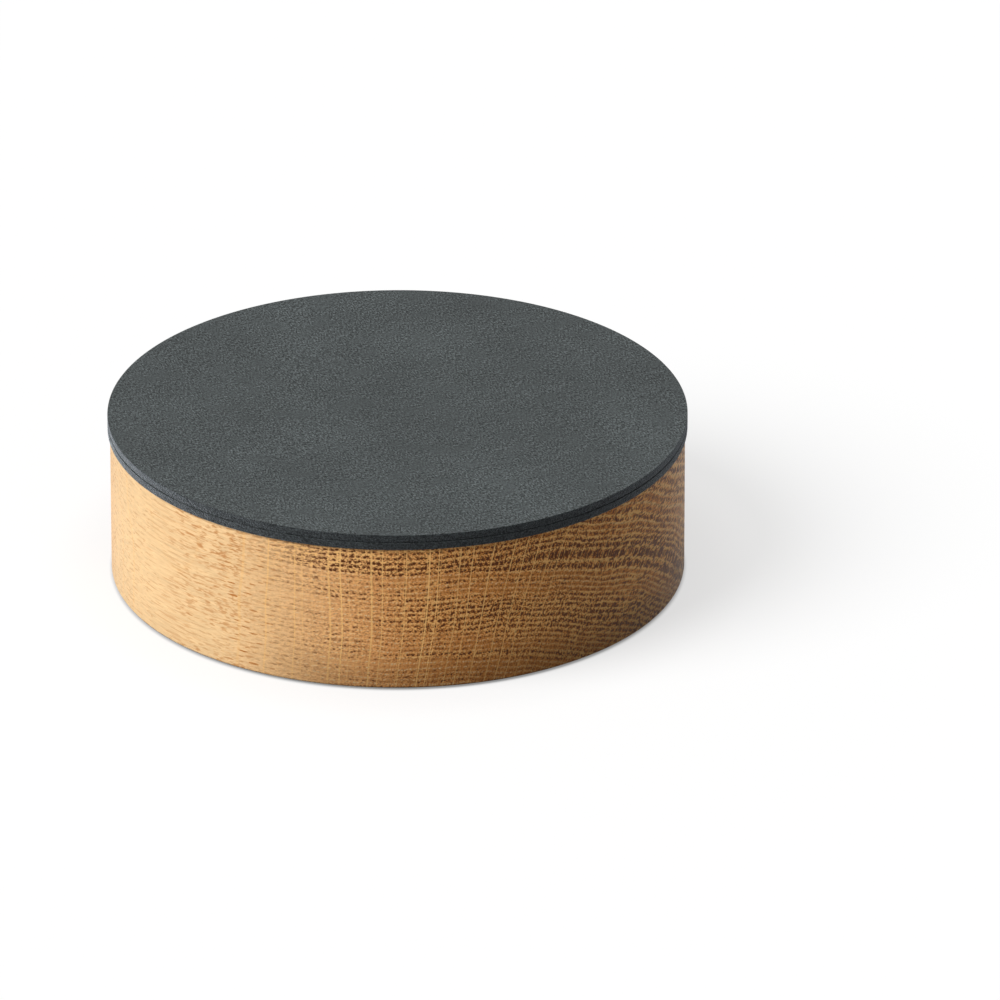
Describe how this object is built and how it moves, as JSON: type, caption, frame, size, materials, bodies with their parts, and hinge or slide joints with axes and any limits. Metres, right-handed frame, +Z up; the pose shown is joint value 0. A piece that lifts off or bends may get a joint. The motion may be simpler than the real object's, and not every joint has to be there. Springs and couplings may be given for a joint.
{
  "type": "round keepsake box",
  "caption": "Low round solid-oak box for papers and keepsakes, with a flat lift-off lid of layered slate-grey leather centred by a plug in the box's mouth.",
  "frame": {"origin": "middle of the underside, on the surface that the box stands on", "axes": "+Z up along the box's axis, the way the lid lifts; the box is round, so X and Y are alike, and the grain's end shows between +X and -Y"},
  "size_m": [0.14, 0.14, 0.0411],
  "materials": {
    "oak": "satin",
    "slate_leather": "matte",
    "core_board": "matte",
    "birch_plywood": "matte",
    "felt": "matte"
  },
  "bodies": {
    "box": {"oak_body": "oak", "floor_liner": "slate_leather", "base_pad": "felt"},
    "lid": {"lid_bottom_leather": "slate_leather", "lid_core": "core_board", "lid_top_leather": "slate_leather", "lid_plug": "birch_plywood", "plug_liner": "slate_leather"}
  },
  "joints": [
    {"name": "lid_lift", "type": "slide", "parent": "box", "child": "lid", "axis": [0, 0, 1], "range_m": [0, 0.06]}
  ]
}
